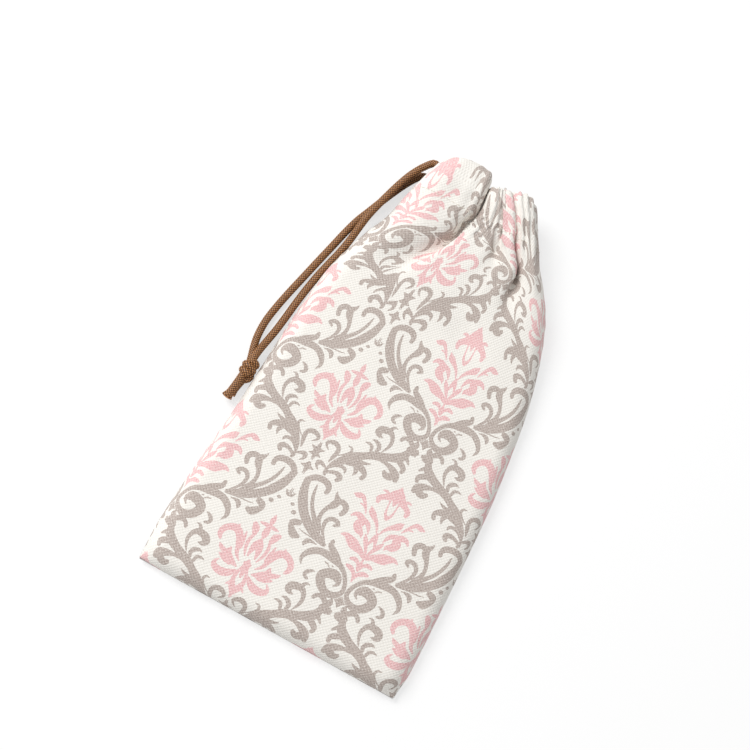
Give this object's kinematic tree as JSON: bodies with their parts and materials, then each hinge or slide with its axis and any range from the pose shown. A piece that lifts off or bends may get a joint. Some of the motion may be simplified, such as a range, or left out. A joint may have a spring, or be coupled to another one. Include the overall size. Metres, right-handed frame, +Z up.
{
  "type": "drawstring pouch",
  "caption": "Flat kinchaku pouch of patterned cotton canvas, lying down with its stitched casing gathered shut on a round braided cord that ends in an overhand knot.",
  "frame": {"origin": "on the table under the middle of the bottom seam", "axes": "+X across the pouch to the right as seen from above, +Y from the bottom seam to the mouth, +Z up from the table"},
  "size_m": [0.127, 0.22, 0.024],
  "materials": {
    "printed_canvas": "plain-woven cotton canvas, off-white with a grey and pink damask print",
    "braided_cord": "fine round braid, brown, slightly glossy"
  },
  "bodies": {
    "root": {"front_panel": "printed_canvas", "back_panel": "printed_canvas", "casing_cord": "braided_cord", "outer_strand": "braided_cord", "inner_strand": "braided_cord", "cord_knot": "braided_cord"}
  },
  "joints": []
}
